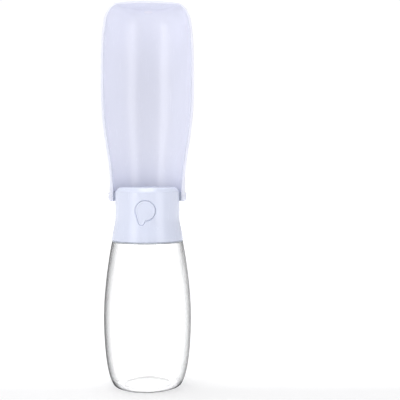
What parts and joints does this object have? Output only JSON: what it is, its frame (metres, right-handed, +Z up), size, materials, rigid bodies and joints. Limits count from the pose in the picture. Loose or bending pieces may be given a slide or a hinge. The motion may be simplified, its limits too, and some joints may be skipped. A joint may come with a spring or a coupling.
{
  "type": "dog travel water bottle",
  "caption": "Clear bottle under a screw-on head with a push button valve and a half-round drinking trough that folds over the bottle's front.",
  "frame": {"origin": "centre of the bottle's foot, on the surface it stands on", "axes": "+Z up along the bottle's axis, -Y towards the side with the push button, the trough's hinge along X"},
  "size_m": [0.085, 0.082, 0.3493],
  "materials": {
    "clear_bottle": "gloss",
    "head_plastic": "gloss",
    "trough_plastic": "gloss",
    "inner_plastic": "satin",
    "silicone": "matte",
    "steel": "satin"
  },
  "bodies": {
    "bottle": {"bottle": "clear_bottle"},
    "gasket": {"neck_gasket": "silicone"},
    "head": {"collar": "head_plastic", "deck_cover": "head_plastic", "lanyard_lug": "head_plastic", "neck_insert": "inner_plastic", "insert_screws": "steel", "outlet_seal": "silicone", "valve_cage": "inner_plastic", "valve_spring": "steel", "button_spring": "steel", "slide_seal": "silicone", "seal_retainer": "inner_plastic", "retainer_screws": "steel", "hinge_pins": "steel"},
    "valve": {"valve_stem": "inner_plastic", "valve_disc": "silicone", "stem_follower": "inner_plastic", "follower_screw": "steel"},
    "button": {"button": "head_plastic", "push_slide": "inner_plastic"},
    "trough": {"trough": "trough_plastic"}
  },
  "joints": [
    {"name": "head_lift", "type": "slide", "parent": "bottle", "child": "gasket", "axis": [0, 0, 1], "range_m": [0, 0.0013]},
    {"name": "head_turn", "type": "hinge", "parent": "gasket", "child": "head", "pos_m": [0, 0, 0.1484], "axis": [0, 0, 1], "range_deg": [0, 150]},
    {"name": "trough_fold", "type": "hinge", "parent": "head", "child": "trough", "pos_m": [0, 0, 0.172], "axis": [1, 0, 0], "range_deg": [0, 180]},
    {"name": "button_press", "type": "slide", "parent": "head", "child": "button", "axis": [0, 1, 0], "range_m": [0, 0.0028], "stiffness_N_per_m": 500, "springref_m": -0.002, "deforming": ["button_spring"]},
    {"name": "valve_open", "type": "slide", "parent": "head", "child": "valve", "axis": [0, 0, -1], "range_m": [0, 0.0029], "stiffness_N_per_m": 500, "springref_m": -0.002, "deforming": ["valve_spring"]}
  ],
  "couplings": [
    {"joint": "head_lift", "follows": "head_turn", "m_per_rad": 0.00047746},
    {"joint": "valve_open", "follows": "button_press", "ratio": 1}
  ]
}
